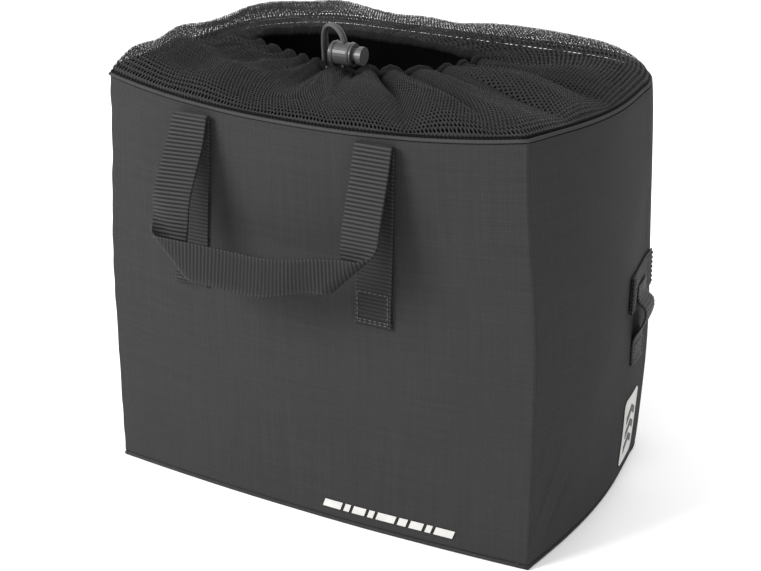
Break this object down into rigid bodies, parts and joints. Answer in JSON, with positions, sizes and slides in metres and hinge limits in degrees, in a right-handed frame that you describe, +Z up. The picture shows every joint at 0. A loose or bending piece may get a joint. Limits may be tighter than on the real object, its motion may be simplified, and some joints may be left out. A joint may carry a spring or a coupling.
{
  "type": "handlebar basket",
  "caption": "Soft box-shaped handlebar basket with a drawcord mesh top, webbing carry handles, a side light loop and a lift-off handlebar bracket.",
  "frame": {"origin": "middle of the base, on the surface the basket stands on", "axes": "+Z up, +X to the right seen from the front, the front face looks along -Y and the handlebar side along +Y"},
  "size_m": [0.3376, 0.331, 0.3086],
  "materials": {
    "bag_fabric": "matt charcoal woven polyester",
    "stiffener_board": "matt plastic sheet",
    "lining_cloth": "black plain cloth",
    "netting": "black open mesh",
    "webbing": "ribbed charcoal webbing",
    "cord": "black braided elastic cord",
    "lock_plastic": "satin grey moulding",
    "plunger_plastic": "satin black moulding",
    "reflective": "pale grey reflective film",
    "bracket_plastic": "matt black moulding",
    "button_plastic": "satin red moulding",
    "steel": "zinc plated"
  },
  "bodies": {
    "bag": {"front_panel": "bag_fabric", "wrap_panel": "bag_fabric", "base_panel": "bag_fabric", "base_board": "stiffener_board", "front_board": "stiffener_board", "back_board": "stiffener_board", "lining": "lining_cloth", "front_handle_stub_left": "webbing", "front_handle_stub_right": "webbing", "rear_handle_stub_left": "webbing", "rear_handle_stub_right": "webbing", "light_loop_band": "webbing", "light_loop": "webbing", "rim_binding": "webbing", "rim_hoop": "steel", "mesh_collar": "netting", "drawcord_channel": "netting", "drawcord": "cord", "side_reflective_patch": "reflective", "front_reflective_bar": "reflective", "mounting_plate": "bracket_plastic", "backing_plate": "steel", "mount_screw_1": "steel", "mount_screw_2": "steel", "mount_screw_3": "steel", "mount_screw_4": "steel"},
    "front_handle": {"front_handle_strap": "webbing"},
    "rear_handle": {"rear_handle_strap": "webbing"},
    "cord_lock": {"cord_lock_barrel": "lock_plastic", "cord_lock_spring": "steel", "cord_strand_front": "cord", "cord_strand_back": "cord", "cord_end_knot": "cord"},
    "lock_plunger": {"cord_lock_plunger": "plunger_plastic"},
    "bracket": {"handlebar_bracket": "bracket_plastic", "clamp_cap_left": "bracket_plastic", "clamp_cap_right": "bracket_plastic", "clamp_bolt_left_upper": "steel", "clamp_bolt_left_lower": "steel", "clamp_bolt_right_upper": "steel", "clamp_bolt_right_lower": "steel", "release_spring": "steel"},
    "button": {"release_button": "button_plastic"}
  },
  "joints": [
    {"name": "front_handle_fold", "type": "hinge", "parent": "bag", "child": "front_handle", "pos_m": [-0.012, -0.12481, 0.262], "axis": [-1, 0, 0], "range_deg": [0, 160]},
    {"name": "rear_handle_fold", "type": "hinge", "parent": "bag", "child": "rear_handle", "pos_m": [0, 0.1155, 0.262], "axis": [1, 0, 0], "range_deg": [0, 165]},
    {"name": "cord_lock_slide", "type": "slide", "parent": "bag", "child": "cord_lock", "axis": [0, 0, 1], "range_m": [0, 0.012], "deforming": ["cord_strand_front", "cord_strand_back"]},
    {"name": "lock_plunger_slide", "type": "slide", "parent": "cord_lock", "child": "lock_plunger", "axis": [-1, 0, 0], "range_m": [0, 0.003], "stiffness_N_per_m": 200, "springref_m": -0.002, "deforming": ["cord_lock_spring"]},
    {"name": "bracket_slide", "type": "slide", "parent": "bag", "child": "bracket", "axis": [0, 0, -1], "range_m": [0, 0.022]},
    {"name": "release_button_press", "type": "slide", "parent": "bracket", "child": "button", "axis": [0, -1, 0], "range_m": [0, 0.003], "stiffness_N_per_m": 300, "springref_m": -0.002, "deforming": ["release_spring"]}
  ]
}
